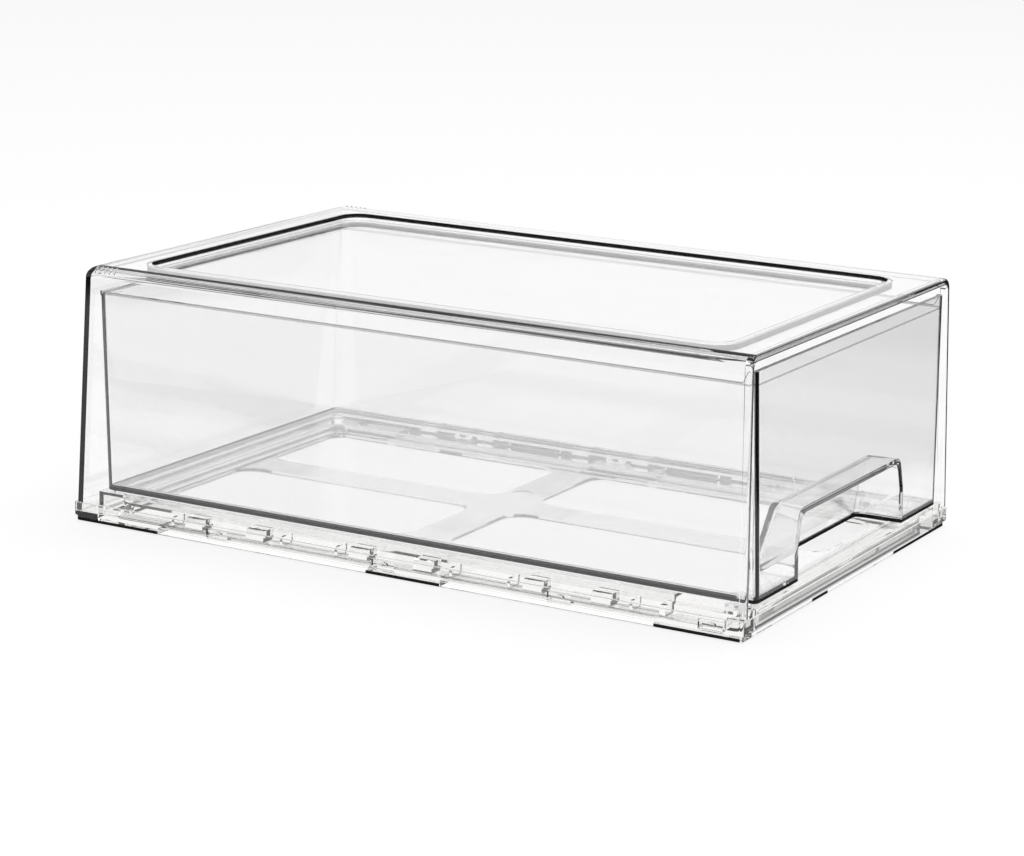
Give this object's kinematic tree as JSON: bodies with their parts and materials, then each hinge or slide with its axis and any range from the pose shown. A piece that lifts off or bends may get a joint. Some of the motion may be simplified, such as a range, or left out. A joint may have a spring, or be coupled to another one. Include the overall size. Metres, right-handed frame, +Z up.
{
  "type": "stackable drawer box",
  "caption": "Clear stackable storage box: a drafted cover clipped to a windowed base, with a tray-like drawer that slides out of the open front and has an arched finger pull.",
  "frame": {"origin": "middle of the underside that the box stands on", "axes": "+Z up, -Y out of the open front that the drawer slides through, +X to the right seen from behind the front looking along +Y"},
  "size_m": [0.204, 0.31, 0.108],
  "materials": {
    "clear_base": "clear moulded plastic, polished",
    "clear_cover": "clear moulded plastic, polished",
    "clear_drawer": "clear moulded plastic, polished"
  },
  "bodies": {
    "case": {"base": "clear_base", "cover": "clear_cover"},
    "tray": {"drawer": "clear_drawer"}
  },
  "joints": [
    {"name": "drawer_slide", "type": "slide", "parent": "case", "child": "tray", "axis": [0, -1, 0], "range_m": [0, 0.24]}
  ]
}
